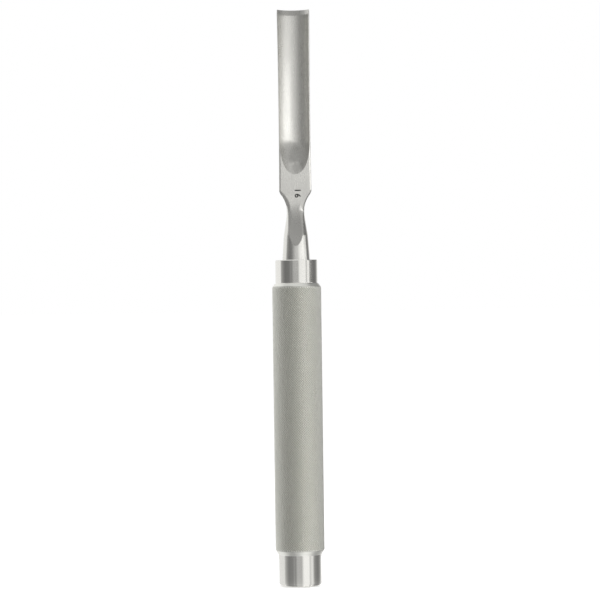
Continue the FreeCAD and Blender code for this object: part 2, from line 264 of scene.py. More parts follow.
def show(name, mesh, materials):
    """Puts a finished mesh into the scene."""
    piece = bpy.data.objects.new(name, mesh)
    for material in materials:
        mesh.materials.append(material)
    bpy.context.scene.collection.objects.link(piece)
    return piece


def turned_faces(bm, profile, segments, closed=True):
    """Turns a profile of (radius, height) about the Z axis."""
    rings = []
    for radius, height in profile:
        ring = []
        for i in range(segments):
            angle = 2 * math.pi * i / segments
            spot = (radius * math.cos(angle) * MM, radius * math.sin(angle) * MM, height * MM)
            ring.append(bm.verts.new(spot))
        rings.append(ring)
    pairs = list(zip(rings, rings[1:]))
    if closed:
        pairs.append((rings[-1], rings[0]))
    for low, high in pairs:
        for i in range(segments):
            k = (i + 1) % segments
            face = bm.faces.new((low[i], low[k], high[k], high[i]))
            face.smooth = True
    return rings


def turned_piece(name, profile, material):
    """A solid of revolution with a smooth surface and crisp corners."""
    bm = bmesh.new()
    turned_faces(bm, supported(profile), TURNED_SEGMENTS)
    mesh = bpy.data.meshes.new(name)
    finish_mesh(bm, mesh)
    return show(name, mesh, [material])


def make_strike_cap(polish):
    """The end cap with its rounded striking edge, its relief below the grip and its spigot."""
    spigot = BORE_RADIUS - FIT_CLEARANCE
    top = GRIP_LOW.z
    seat = GRIP_RADIUS - LOWER_BEVEL[0]
    side = seat - CAP_RELIEF[0]
    edge = arc((side - CAP_EDGE_ROUND, CAP_EDGE_ROUND), CAP_EDGE_ROUND, -90, 0)
    axis = 0.0
    profile = [
        (axis, CAP_LOW.z), *edge,
        (side, top - CAP_RELIEF[1]), (seat, top), (spigot, top),
        (spigot, CAP_HIGH.z - SPIGOT_BEVEL), (spigot - SPIGOT_BEVEL, CAP_HIGH.z),
        (axis, CAP_HIGH.z),
    ]
    return turned_piece("strike_cap_polished", profile, polish)


def make_front_ferrule(polish):
    """The collar with its hollow root round and its broken top edge, its spigot and its bore."""
    spigot = BORE_RADIUS - FIT_CLEARANCE
    bore = TANG_RADIUS + FIT_CLEARANCE
    seat = GRIP_HIGH.z
    top = FERRULE_HIGH.z
    root_centre = (COLLAR_RADIUS + COLLAR_ROOT_ROUND, seat + COLLAR_ROOT_ROUND)
    profile = [
        (bore, FERRULE_LOW.z), (spigot - SPIGOT_BEVEL, FERRULE_LOW.z),
        (spigot, FERRULE_LOW.z + SPIGOT_BEVEL), (spigot, seat),
        *arc(root_centre, COLLAR_ROOT_ROUND, 270, 180, steps=6),
        (COLLAR_RADIUS, top - COLLAR_EDGE_BEVEL), (COLLAR_RADIUS - COLLAR_EDGE_BEVEL, top),
        (bore, top),
    ]
    return turned_piece("front_ferrule_polished", profile, polish)


def knurl_tree():
    """Geometry nodes that roll a diamond knurl on the open band of a turned grip.

    The pattern is laid out flat, in pitches across and along. Each diamond is raised and its
    top drawn in, and the whole sheet is then wrapped round the grip.
    """
    tree = bpy.data.node_groups.new("diamond_knurl", "GeometryNodeTree")
    sockets = tree.interface
    sockets.new_socket("Grip", in_out="INPUT", socket_type="NodeSocketGeometry")
    for name in ("Around", "Along"):
        sockets.new_socket(name, in_out="INPUT", socket_type="NodeSocketInt")
    for name in ("Start", "Pitch along", "Root radius", "Depth", "Crest share"):
        sockets.new_socket(name, in_out="INPUT", socket_type="NodeSocketFloat")
    sockets.new_socket("Finish", in_out="INPUT", socket_type="NodeSocketMaterial")
    sockets.new_socket("Geometry", in_out="OUTPUT", socket_type="NodeSocketGeometry")
    given = add(tree, "NodeGroupInput").outputs

    def number(operation, *values):
        made = add(tree, "ShaderNodeMath", dict(enumerate(values)), operation=operation)
        return made.outputs["Value"]

    def spots(fewer_rows, shift):
        """Centres of every other row of diamonds."""
        rows = number("SUBTRACT", given["Along"], float(fewer_rows))
        grid = add(tree, "GeometryNodeMeshGrid", {
            "Size X": number("SUBTRACT", given["Around"], 1.0),
            "Size Y": number("SUBTRACT", rows, 1.0),
            "Vertices X": given["Around"], "Vertices Y": rows})
        half_around = number("DIVIDE", number("SUBTRACT", given["Around"], 1.0), 2.0)
        middle = add(tree, "ShaderNodeCombineXYZ", {
            "X": number("ADD", half_around, shift),
            "Y": number("DIVIDE", given["Along"], 2.0)})
        moved = add(tree, "GeometryNodeTransform", {
            "Geometry": grid.outputs["Mesh"], "Translation": middle.outputs["Vector"]})
        return moved.outputs["Geometry"]

    centres = add(tree, "GeometryNodeJoinGeometry")
    for sheet in (spots(0, 0.0), spots(1, 0.5)):
        tree.links.new(sheet, centres.inputs["Geometry"])
    diamond = add(tree, "GeometryNodeMeshCircle", {"Vertices": 4, "Radius": 0.5}, fill_type="NGON")
    laid = add(tree, "GeometryNodeInstanceOnPoints", {
        "Points": centres.outputs["Geometry"], "Instance": diamond.outputs["Mesh"]})
    sheet = add(tree, "GeometryNodeRealizeInstances", {"Geometry": laid.outputs["Instances"]})
    joined = add(tree, "GeometryNodeMergeByDistance", {
        "Geometry": sheet.outputs["Geometry"], "Distance": DIAMOND_WELD})
    raised = add(tree, "GeometryNodeExtrudeMesh", {
        "Mesh": joined.outputs["Geometry"], "Offset": (0, 0, 1), "Offset Scale": given["Depth"],
        "Individual": True}, mode="FACES")
    drawn_in = add(tree, "GeometryNodeScaleElements", {
        "Geometry": raised.outputs["Mesh"], "Selection": raised.outputs["Top"],
        "Scale": given["Crest share"]}, domain="FACE")
    flat = add(tree, "ShaderNodeSeparateXYZ", {
        "Vector": add(tree, "GeometryNodeInputPosition").outputs["Position"]}).outputs
    angle = number("MULTIPLY", number("DIVIDE", flat["X"], given["Around"]), 2 * math.pi)
    radius = number("ADD", given["Root radius"], flat["Z"])
    wrapped = add(tree, "ShaderNodeCombineXYZ", {
        "X": number("MULTIPLY", radius, number("COSINE", angle)),
        "Y": number("MULTIPLY", radius, number("SINE", angle)),
        "Z": number("MULTIPLY_ADD", flat["Y"], given["Pitch along"], given["Start"])})
    rolled = add(tree, "GeometryNodeSetPosition", {
        "Geometry": drawn_in.outputs["Geometry"], "Position": wrapped.outputs["Vector"]})
    whole = add(tree, "GeometryNodeJoinGeometry")
    tree.links.new(rolled.outputs["Geometry"], whole.inputs["Geometry"])
    tree.links.new(given["Grip"], whole.inputs["Geometry"])
    closed = add(tree, "GeometryNodeMergeByDistance", {
        "Geometry": whole.outputs["Geometry"], "Distance": SHEET_WELD * MM})
    real = add(tree, "GeometryNodeRealizeInstances", {"Geometry": closed.outputs["Geometry"]})
    dressed = add(tree, "GeometryNodeSetMaterial", {
        "Geometry": real.outputs["Geometry"], "Material": given["Finish"]})
    add(tree, "NodeGroupOutput", {"Geometry": dressed.outputs["Geometry"]})
    return tree


def make_grip(finish, turned_finish):
    """The knurled grip: turned ends and bore in code, and the knurl between them by its tree."""
    root = GRIP_RADIUS - KNURL_DEPTH
    low_slope = LOWER_BEVEL[1] / LOWER_BEVEL[0]
    high_slope = UPPER_BEVEL[1] / UPPER_BEVEL[0]
    band_low = GRIP_LOW.z + LOWER_BEVEL[1] - KNURL_DEPTH * low_slope
    band_high = GRIP_HIGH.z - UPPER_BEVEL[1] + KNURL_DEPTH * high_slope
    start = band_low + KNURL_LAND
    end = band_high - KNURL_LAND
    pitch = 2 * math.pi * GRIP_RADIUS / DIAMONDS_AROUND
    rows = round((end - start) / pitch)
    pitch_along = (end - start) / rows
    profile = [
        (root, start), (root, band_low), (GRIP_RADIUS - LOWER_BEVEL[0], GRIP_LOW.z),
        (BORE_RADIUS, GRIP_LOW.z), (BORE_RADIUS, GRIP_HIGH.z),
        (GRIP_RADIUS - UPPER_BEVEL[0], GRIP_HIGH.z), (root, band_high), (root, end),
    ]
    bm = bmesh.new()
    rings = turned_faces(bm, profile, 2 * DIAMONDS_AROUND, closed=False)
    for ring, way in ((rings[0], 1), (rings[-1], -1)):
        for vertex in ring[1::2]:
            vertex.co.z += way * pitch_along / 2 * MM
    mesh = bpy.data.meshes.new("grip_turning")
    bm.to_mesh(mesh)
    bm.free()
    turning = bpy.data.objects.new("grip_turning", mesh)
    bpy.context.scene.collection.objects.link(turning)
    tree = knurl_tree()
    knurl = turning.modifiers.new("knurl", "NODES")
    knurl.node_group = tree
    values = {
        "Around": DIAMONDS_AROUND, "Along": rows, "Start": start * MM,
        "Pitch along": pitch_along * MM, "Root radius": root * MM, "Depth": KNURL_DEPTH * MM,
        "Crest share": CREST_SHARE, "Finish": finish,
    }
    for item in tree.interface.items_tree:
        if item.name in values:
            knurl[item.identifier] = values[item.name]
    bpy.context.view_layer.update()
    evaluated = turning.evaluated_get(bpy.context.evaluated_depsgraph_get())
    rolled = bpy.data.meshes.new_from_object(evaluated)
    bpy.data.objects.remove(turning)
    bm = bmesh.new()
    bm.from_mesh(rolled)
    rolled.materials.clear()
    finish_mesh(bm, rolled)
    rolled.name = "grip_knurled"
    for face in rolled.polygons:
        height = face.center.z / MM
        across = math.hypot(face.center.x, face.center.y) / MM
        knurled = across > root - KNURL_LAND and band_low < height < band_high
        face.material_index = 0 if knurled else 1
    return show("grip_knurled", rolled, [finish, turned_finish])


# Blade, in millimetres, as the solid has it. Heights count from the collar's top.
TANG_LENGTH = 30.0
TANG_BEVEL = 0.6
ROOT_RADIUS = 6.75
KNEE = (5.875, 12.0)
NECK_HEIGHT = 23.7
NECK_RADIUS = 4.3
NECK_CURVE_SPAN = 4.0
NECK_CURVE_RADIUS = 25.0
FLARE_RADIUS = 13.4
REACH = BLADE_HIGH.z - FERRULE_HIGH.z
TIP_HALF = 7.95
TIP_FLARE = 0.3
WAIST_BELOW_TIP = 47.7
FACE_OFFSET = 2.6
FACE_START = NECK_HEIGHT + 8.0
GRIND_RADIUS = 85.0
RIM_ROUND = 0.9
BACK_EDGE_ROUND = 0.6
FLUTE_DEPTH = 4.6
FLUTE_RIM = 0.28
FLUTE_WALL = 2.0
FLUTE_END = NECK_HEIGHT + 17.9
FLUTE_EXIT_RADIUS = 36.0
OUTER_BEVEL = 7.0
INNER_BEVEL = 2.3
EDGE_THICKNESS = 0.08
CORNER_TRIM = 0.05
# Two heights, on the tongue and at the shoulder, and how far the face's edges on the turned
# shank are broken there.
TONGUE_EDGE = (14.0, 0.1)
SHOULDER_EDGE = (24.0, 1.1)

WAIST_HALF = TIP_HALF - TIP_FLARE
WAIST_HEIGHT = REACH - WAIST_BELOW_TIP
SIDE_RADIUS = (WAIST_BELOW_TIP ** 2 + TIP_FLARE ** 2) / (2 * TIP_FLARE)
FLUTE_HALF = WAIST_HALF - FLUTE_RIM
FLUTE_RADIUS = (FLUTE_HALF ** 2 + FLUTE_DEPTH ** 2) / (2 * FLUTE_DEPTH)
FLUTE_AXIS = FLUTE_DEPTH - FACE_OFFSET - FLUTE_RADIUS
FLUTE_EXIT_AXIS = FLUTE_DEPTH - FACE_OFFSET - FLUTE_EXIT_RADIUS
FLUTE_EXIT_START = FLUTE_END + math.sqrt(
    FLUTE_EXIT_RADIUS ** 2 - (FLUTE_EXIT_RADIUS - FLUTE_DEPTH) ** 2)
BACK_RADIUS = FLUTE_RADIUS + FLUTE_WALL
OUTER_EDGE_RADIUS = math.hypot(TIP_HALF, FACE_OFFSET + FLUTE_AXIS) - CORNER_TRIM
INNER_EDGE_RADIUS = OUTER_EDGE_RADIUS - EDGE_THICKNESS

# The etched mark, in millimetres: its middle across and up, its letter size, how much thicker
# its strokes are drawn, and how thin a layer stands for it. Its spacing is against the font's.
MARK_CENTRE = (1.0, 190.8)
MARK_SIZE = 4.0
MARK_STROKE = 0.1
MARK_SPACING = 1.3
MARK_PROUD = 0.006

# Points round half of a section, and rays that find its outline, each by halving its reach.
CHAIN_POINTS = 66
RAYS = 1600
HALVINGS = 34
# Weight of turning against length when the points are shared out round the outline.
TURN_WEIGHT = 1.6
# A point lies on the turned surface, or on the back, when it is this near to it.
ON_ROUND = 0.01
ON_BACK = 0.002
# Height below which the shank is a plain cone, under the tip of the face's tongue.
TONGUE_TIP = 6.6


def sag(radius, run):
    """How far an arc falls away from its tangent over a run."""
    return radius - math.sqrt(radius ** 2 - run ** 2)


def turned_radius(height):
    """Radius of tang, cone, neck and flare."""
    if height < 0:
        return min(TANG_RADIUS, TANG_RADIUS - TANG_BEVEL + TANG_LENGTH + height)
    neck_curve = NECK_HEIGHT - NECK_CURVE_SPAN
    if height < KNEE[1]:
        return ROOT_RADIUS + (KNEE[0] - ROOT_RADIUS) * height / KNEE[1]
    if height < neck_curve:
        end = NECK_RADIUS + sag(NECK_CURVE_RADIUS, NECK_CURVE_SPAN)
        return KNEE[0] + (end - KNEE[0]) * (height - KNEE[1]) / (neck_curve - KNEE[1])
    if height < NECK_HEIGHT:
        return NECK_RADIUS + sag(NECK_CURVE_RADIUS, NECK_HEIGHT - height)
    # The flare stops just short of its full quarter, which is well outside the blade.
    return NECK_RADIUS + sag(FLARE_RADIUS, min(height - NECK_HEIGHT, 0.99 * FLARE_RADIUS))


def rounded(a, b, radius):
    """The corner between two cuts, rounded. Distances are negative inside the steel."""
    corner = np.hypot(np.maximum(a + radius, 0), np.maximum(b + radius, 0))
    return np.minimum(np.maximum(a, b), -radius) + corner


def depth_outside(x, y, height, turned):
    """Distance outside the blade's section, before the flute and the tip's bevels are cut."""
    round_part = np.hypot(x, y) - turned
    run_off = sag(GRIND_RADIUS, max(FACE_START - height, 0))
    face = -FACE_OFFSET - run_off - y
    back_axis = FLUTE_AXIS + run_off
    back = np.hypot(x, y - back_axis) - BACK_RADIUS
    section = back
    if height >= NECK_HEIGHT:
        side = x - WAIST_HALF - sag(SIDE_RADIUS, height - WAIST_HEIGHT)
        section = rounded(side, back, BACK_EDGE_ROUND)
        section = rounded(section, face, RIM_ROUND)
    else:
        section = np.maximum(back, face)
    if height < 2 * NECK_HEIGHT:
        broken = np.interp(height, *zip(TONGUE_EDGE, SHOULDER_EDGE))
        section = rounded(section, round_part, broken)
    return section


def outline(height, turned):
    """Half of a section's outline, from the middle of the front to the middle of the back."""
    run_off = sag(GRIND_RADIUS, max(FACE_START - height, 0))
    front = max(-FACE_OFFSET - run_off, -turned)
    back = min(FLUTE_AXIS + run_off + BACK_RADIUS, turned)
    middle = (front + back) / 2
    angles = np.linspace(-math.pi / 2, math.pi / 2, RAYS)
    across, along = np.cos(angles), np.sin(angles)
    near, far = np.zeros(RAYS), np.full(RAYS, 2 * BACK_RADIUS)
    for _ in range(HALVINGS):
        trial = (near + far) / 2
        outside = depth_outside(trial * across, middle + trial * along, height, turned) > 0
        far = np.where(outside, trial, far)
        near = np.where(outside, near, trial)
    return near * across, middle + near * along


def flute_radius(height):
    """Radius of the flute, which the inner bevel opens up to the cutting edge."""
    share = max(height - REACH + INNER_BEVEL, 0) / INNER_BEVEL
    return FLUTE_RADIUS + (INNER_EDGE_RADIUS - FLUTE_RADIUS) * share


def flute_inside(x, y, height):
    """Negative where the flute has been cut away."""
    radius = flute_radius(height)
    if height >= FLUTE_EXIT_START:
        return np.hypot(x, y - FLUTE_AXIS) - radius
    ring = np.hypot(y - FLUTE_EXIT_AXIS, FLUTE_EXIT_START - height)
    return np.hypot(x, ring - (FLUTE_EXIT_RADIUS - FLUTE_RADIUS)) - radius


def flute_bottom(x, height):
    """How far back the flute's surface lies."""
    bow = np.sqrt(np.maximum(flute_radius(height) ** 2 - x ** 2, 0))
    if height >= FLUTE_EXIT_START:
        return FLUTE_AXIS + bow
    ring = FLUTE_EXIT_RADIUS - FLUTE_RADIUS + bow
    run = FLUTE_EXIT_START - height
    return FLUTE_EXIT_AXIS + np.sqrt(np.maximum(ring ** 2 - run ** 2, 0))


def first_outside(values):
    """Where a row of numbers first turns positive, as a place between two of them."""
    positive = np.nonzero(values > 0)[0]
    if len(positive) == 0:
        return None
    k = positive[0]
    if k == 0:
        return 0.0
    return k - 1 + values[k - 1] / (values[k - 1] - values[k])


def cut_at(x, y, start, end):
    """The part of a line between two places on it."""
    places = np.arange(len(x))
    inner = places[(places > start) & (places < end)]
    spots = np.concatenate(([start], inner, [end]))
    return np.interp(spots, places, x), np.interp(spots, places, y)


def share_out(x, y, count):
    """Points along a line, closer together where it turns."""
    step = np.hypot(np.diff(x), np.diff(y))
    heading = np.unwrap(np.arctan2(np.diff(y), np.diff(x)))
    turn = np.zeros(len(step))
    turn[1:] = np.abs(np.diff(heading)) / 2
    turn[:-1] += np.abs(np.diff(heading)) / 2
    weight = step / max(step.sum(), 1e-9)
    if turn.sum() > 1e-6:
        weight = weight + TURN_WEIGHT * turn / turn.sum()
    travelled = np.concatenate(([0.0], np.cumsum(weight)))
    wanted = np.linspace(0, travelled[-1], count)
    return np.interp(wanted, travelled, x), np.interp(wanted, travelled, y)


def outer_chain(height, turned, heel):
    """Points from the flute's edge, or the middle of the face, round to the middle of the back.

    heel is the number of the point that holds the outer bevel's line on the side.
    """
    x, y = outline(height, turned)
    start = 0.0
    if height > FLUTE_END:
        start = first_outside(flute_inside(x, y, height))
    if height <= REACH - OUTER_BEVEL:
        return share_out(*cut_at(x, y, start, len(x) - 1), CHAIN_POINTS)
    share = (REACH - height) / OUTER_BEVEL
    cone = OUTER_EDGE_RADIUS + (BACK_RADIUS - OUTER_EDGE_RADIUS) * share
    corner = first_outside(np.hypot(x, y - FLUTE_AXIS) - cone)
    side_x, side_y = share_out(*cut_at(x, y, start, max(corner, start + 1e-6)), heel + 1)
    angle = math.atan2(side_y[-1] - FLUTE_AXIS, side_x[-1])
    angles = np.linspace(angle, math.pi / 2, CHAIN_POINTS - heel)[1:]
    back_x, back_y = cone * np.cos(angles), FLUTE_AXIS + cone * np.sin(angles)
    return np.concatenate((side_x, back_x)), np.concatenate((side_y, back_y))


def blade_heights():
    """Heights of the sections, close together where the form changes quickly."""
    rows = [(h, TANG_RADIUS) for h in (-TANG_LENGTH + TANG_BEVEL, -TANG_LENGTH / 2, 0.0)]
    rows.insert(0, (-TANG_LENGTH, TANG_RADIUS - TANG_BEVEL))
    spans = ((0.0, TONGUE_TIP, 8), (TONGUE_TIP, KNEE[1], 24), (KNEE[1], NECK_HEIGHT, 54),
             (NECK_HEIGHT, FACE_START + 4, 44), (FACE_START + 4, FLUTE_END, 8))
    for low, high, steps in spans:
        rows += [(h, turned_radius(h)) for h in np.linspace(low, high, steps, endpoint=False)]
    exit_length = FLUTE_EXIT_START - FLUTE_END
    rows += [(FLUTE_END + exit_length * s * s, None)
             for s in np.linspace(0, 1, 48, endpoint=False)]
    for low, high, steps in ((FLUTE_EXIT_START, REACH - OUTER_BEVEL, 26),
                             (REACH - OUTER_BEVEL, REACH - INNER_BEVEL, 12)):
        rows += [(h, None) for h in np.linspace(low, high, steps, endpoint=False)]
    rows += [(h, None) for h in np.linspace(REACH - INNER_BEVEL, REACH, 9)]
    return rows


def heel_point():
    """The chain's point nearest to the line where back and side meet below the outer bevel."""
    x, y = outer_chain(REACH - OUTER_BEVEL, BACK_RADIUS, 0)
    return int(np.argmax(np.abs(np.hypot(x, y - FLUTE_AXIS) - BACK_RADIUS) < ON_BACK))


def make_blade(ground, shank_polish):
    """Tang, shank and blade as one loft, from a section at each height."""
    heel = heel_point()
    flute_points = CHAIN_POINTS - heel
    base = FERRULE_HIGH.z
    bm = bmesh.new()
    rings = []
    turned_flags = []
    for height, radius in blade_heights():
        turned = BACK_RADIUS * 2 if radius is None else radius
        x, y = outer_chain(height, turned, heel)
        angles = np.linspace(0, 1, flute_points)
        wide = x[0] > 0.5 * FLUTE_HALF
        floor_x = x[0] * (np.sin(angles * math.pi / 2) if wide else angles)
        floor_y = np.full(flute_points, y[0])
        if height > FLUTE_END:
            floor_y = flute_bottom(floor_x, height)
        floor_x[-1], floor_y[-1] = x[0], y[0]
        half_x = np.concatenate((floor_x[:-1], x))
        half_y = np.concatenate((floor_y[:-1], y))
        ring_x = np.concatenate((half_x, -half_x[-2:0:-1]))
        ring_y = np.concatenate((half_y, half_y[-2:0:-1]))
        on_round = np.abs(np.hypot(ring_x, ring_y) - turned) < ON_ROUND
        z = (base + height) * MM
        rings.append([bm.verts.new((a * MM, b * MM, z)) for a, b in zip(ring_x, ring_y)])
        turned_flags.append(on_round)
    count = len(rings[0])
    for low, high, low_round, high_round in zip(rings, rings[1:], turned_flags, turned_flags[1:]):
        for i in range(count):
            k = (i + 1) % count
            face = bm.faces.new((low[i], low[k], high[k], high[i]))
            face.smooth = True
            polished = low_round[i] and low_round[k] and high_round[i] and high_round[k]
            face.material_index = int(polished)
    bm.faces.new(list(reversed(rings[0])))
    close_edge(bm, rings[-1], flute_points, heel)
    mesh = bpy.data.meshes.new("gouge_blade_ground")
    finish_mesh(bm, mesh)
    return show("gouge_blade_ground", mesh, [ground, shank_polish])


def close_edge(bm, ring, flute_points, heel):
    """Fills the narrow cutting edge between the flute and the outer bevel."""
    last = flute_points - 1
    back = len(ring) // 2
    for side in (1, -1):
        for i in range(last):
            inner, outer = (i, i + 1), (back - i, back - i - 1)
            corners = [ring[side * k] for k in (inner[0], inner[1], outer[1], outer[0])]
            bm.faces.new(corners)
        corner = [ring[side * k] for k in range(last, last + heel + 1)]
        if len(corner) > 2:
            bm.faces.new(corner)


def make_size_mark(etched):
    """The blade's width in millimetres, etched on the shoulder and read downwards."""
    centre = Vector((MARK_CENTRE[0], -FACE_OFFSET - MARK_PROUD, MARK_CENTRE[1]))
    letters = bpy.data.curves.new("size_mark", "FONT")
    letters.body = str(round(2 * TIP_HALF))
    letters.size = MARK_SIZE
    letters.extrude = MARK_PROUD
    letters.offset = MARK_STROKE
    letters.align_x = "CENTER"
    letters.align_y = "CENTER"
    letters.space_character = MARK_SPACING
    source = bpy.data.objects.new("size_mark_text", letters)
    bpy.context.scene.collection.objects.link(source)
    bpy.context.view_layer.update()
    evaluated = source.evaluated_get(bpy.context.evaluated_depsgraph_get())
    mesh = bpy.data.meshes.new_from_object(evaluated)
    bpy.data.objects.remove(source)
    reading = Matrix(((0, 1, 0), (0, 0, -1), (-1, 0, 0))).to_4x4()
    mesh.transform(Matrix.Translation(centre) @ reading)
    for vertex in mesh.vertices:
        height = vertex.co.z - FERRULE_HIGH.z
        vertex.co.y -= sag(GRIND_RADIUS, max(FACE_START - height, 0))
    mesh.transform(Matrix.Scale(MM, 4))
    mesh.name = "size_mark"
    mesh.materials.clear()
    return show("size_mark", mesh, [etched])


# The studio. Azimuths are in degrees from the camera's side, growing to the right of the photo.
# Distances and heights are in millimetres.
WALL_DISTANCE = 2000.0
AZIMUTH_STEP = 3.0
# The paper and the pale sheet lie this far below the cap's flat end.
FLOOR_GAP = 0.4
SHEET_GAP = 0.2
FLOOR_HALF = 30000.0
# Where the cards that lie on the floor have a row, from under the cap out to the wall. They
# are lighter within NEAR of the axis, and lose most of that by FAR.
FLOOR_ROWS = (9.5, 10.6, 12, 15, 22, 35, 60, 120, 300, 700, WALL_DISTANCE)
NEAR, FAR, FAR_GAIN = 22, 40, 1.25
# Strength of the studio's soft light, and what the paper adds where the camera sees it.
SOFT_LIGHT = 0.75
PAPER_LIFT = 0.35
WHITE = (1.0, 1.0, 1.0, 1.0)


def ray_share(tree):
    """1 for rays from the camera, a mirror or through glass, and 0 for the rest."""
    rays = add(tree, "ShaderNodeLightPath").outputs
    seen = add(tree, "ShaderNodeMath", {
        0: rays["Is Camera Ray"], 1: rays["Is Glossy Ray"]}, operation="MAXIMUM")
    both = add(tree, "ShaderNodeMath", {
        0: seen.outputs["Value"], 1: rays["Is Transmission Ray"]}, operation="MAXIMUM")
    return both.outputs["Value"]


def white_world():
    """A white studio: white behind and in reflections, a plain soft light elsewhere."""
    world = bpy.data.worlds.new("white_studio")
    bpy.context.scene.world = world
    world.use_nodes = True
    tree = world.node_tree
    tree.nodes.clear()
    soft = add(tree, "ShaderNodeBackground", {"Color": WHITE, "Strength": SOFT_LIGHT})
    seen = add(tree, "ShaderNodeBackground", {"Color": WHITE, "Strength": 1.0})
    both = add(tree, "ShaderNodeMixShader", {
        0: ray_share(tree), 1: soft.outputs["Background"], 2: seen.outputs["Background"]})
    add(tree, "ShaderNodeOutputWorld", {"Surface": both.outputs["Shader"]})


def floor_paper():
    """Matt white paper, lifted to white where the camera sees it, so only the shadow shows."""
    material, tree = new_material("matt_white_paper")
    matt = add(tree, "ShaderNodeBsdfDiffuse", {"Color": hex_colour("f4f4f4")})
    lift = add(tree, "ShaderNodeEmission", {"Color": WHITE, "Strength": PAPER_LIFT})
    seen = add(tree, "ShaderNodeAddShader", {
        0: matt.outputs["BSDF"], 1: lift.outputs["Emission"]})
    both = add(tree, "ShaderNodeMixShader", {
        0: ray_share(tree), 1: matt.outputs["BSDF"], 2: seen.outputs["Shader"]})
    add(tree, "ShaderNodeOutputMaterial", {"Surface": both.outputs["Shader"]})
    return material


def make_floor():
    """The sheet of paper that the gouge stands on, wide enough to have no edge in sight."""
    half = FLOOR_HALF * MM
    corners = [(-half, -half), (half, -half), (half, half), (-half, half)]
    mesh = bpy.data.meshes.new("floor")
    mesh.from_pydata([(x, y, -FLOOR_GAP * MM) for x, y in corners], [], [(0, 1, 2, 3)])
    show("floor", mesh, [floor_paper()])


def card_paint():
    """Card that shows the tone painted on each of its corners, whatever lights it."""
    material, tree = new_material("painted_card")
    tone = add(tree, "ShaderNodeAttribute", attribute_name="tone")
    glow = add(tree, "ShaderNodeEmission", {"Color": tone.outputs["Color"], "Strength": 1.0})
    add(tree, "ShaderNodeOutputMaterial", {"Surface": glow.outputs["Emission"]})
    return material


def bent(azimuth, distance):
    """Where a reflection that leaves the cap towards an azimuth crosses a ring round the object.

    A card's edge that follows this line shows in the cap as a straight upright line.
    """
    cap = GRIP_RADIUS - LOWER_BEVEL[0] - CAP_RELIEF[0]
    if distance <= cap:
        return azimuth / 2
    half = math.radians(azimuth) / 2
    run = math.sqrt(distance ** 2 - (cap * math.sin(half)) ** 2) - cap * math.cos(half)
    across = cap * math.sin(half) + run * math.sin(2 * half)
    ahead = cap * math.cos(half) + run * math.cos(2 * half)
    return math.degrees(math.atan2(across, ahead))


def make_card(name, paint, rows):
    """A curved card round the object, seen only in its reflections.

    rows are distance, height and stops, from the bottom up. The stops of a row are pairs of
    azimuth and tone, from left to right.
    """
    first = rows[0][2]
    columns = max(2, round((first[-1][0] - first[0][0]) / AZIMUTH_STEP) + 1)
    verts, shades = [], []
    for distance, height, stops in rows:
        azimuths, tones = zip(*stops)
        places = np.linspace(azimuths[0], azimuths[-1], columns)
        for azimuth, tone in zip(places, np.interp(places, azimuths, tones)):
            turn = math.radians(bent(azimuth, distance))
            spot = (distance * math.sin(turn) * MM, -distance * math.cos(turn) * MM, height * MM)
            verts.append(spot)
            shades.append(tone)
    starts = [r * columns + i for r in range(len(rows) - 1) for i in range(columns - 1)]
    faces = [(s, s + 1, s + 1 + columns, s + columns) for s in starts]
    mesh = bpy.data.meshes.new(name)
    mesh.from_pydata(verts, [], faces)
    tone = mesh.color_attributes.new("tone", "FLOAT_COLOR", "POINT")
    for entry, shade in zip(tone.data, shades):
        entry.color = (shade, shade, shade, 1.0)
    card = show(name, mesh, [paint])
    card.visible_camera = False
    card.visible_diffuse = False
    card.visible_shadow = False
    card.visible_transmission = False


def lit(stops, gain):
    """The same stops, lighter or darker."""
    return [(azimuth, tone * gain) for azimuth, tone in stops]


def lifted(stops, gain):
    """The same stops, lighter, with what is nearly white left as it is."""
    return [(azimuth, max(tone, min(tone * gain, 0.9))) for azimuth, tone in stops]


def standing(stops, near_gain):
    """Rows of a card that lies on the floor from under the cap's edge out to its wall."""
    gains = np.interp(FLOOR_ROWS, (0, NEAR, FAR, WALL_DISTANCE),
                      (near_gain, near_gain, FAR_GAIN, 1.0))
    return [(d, 0.0, lifted(stops, g)) for d, g in zip(FLOOR_ROWS, gains)]


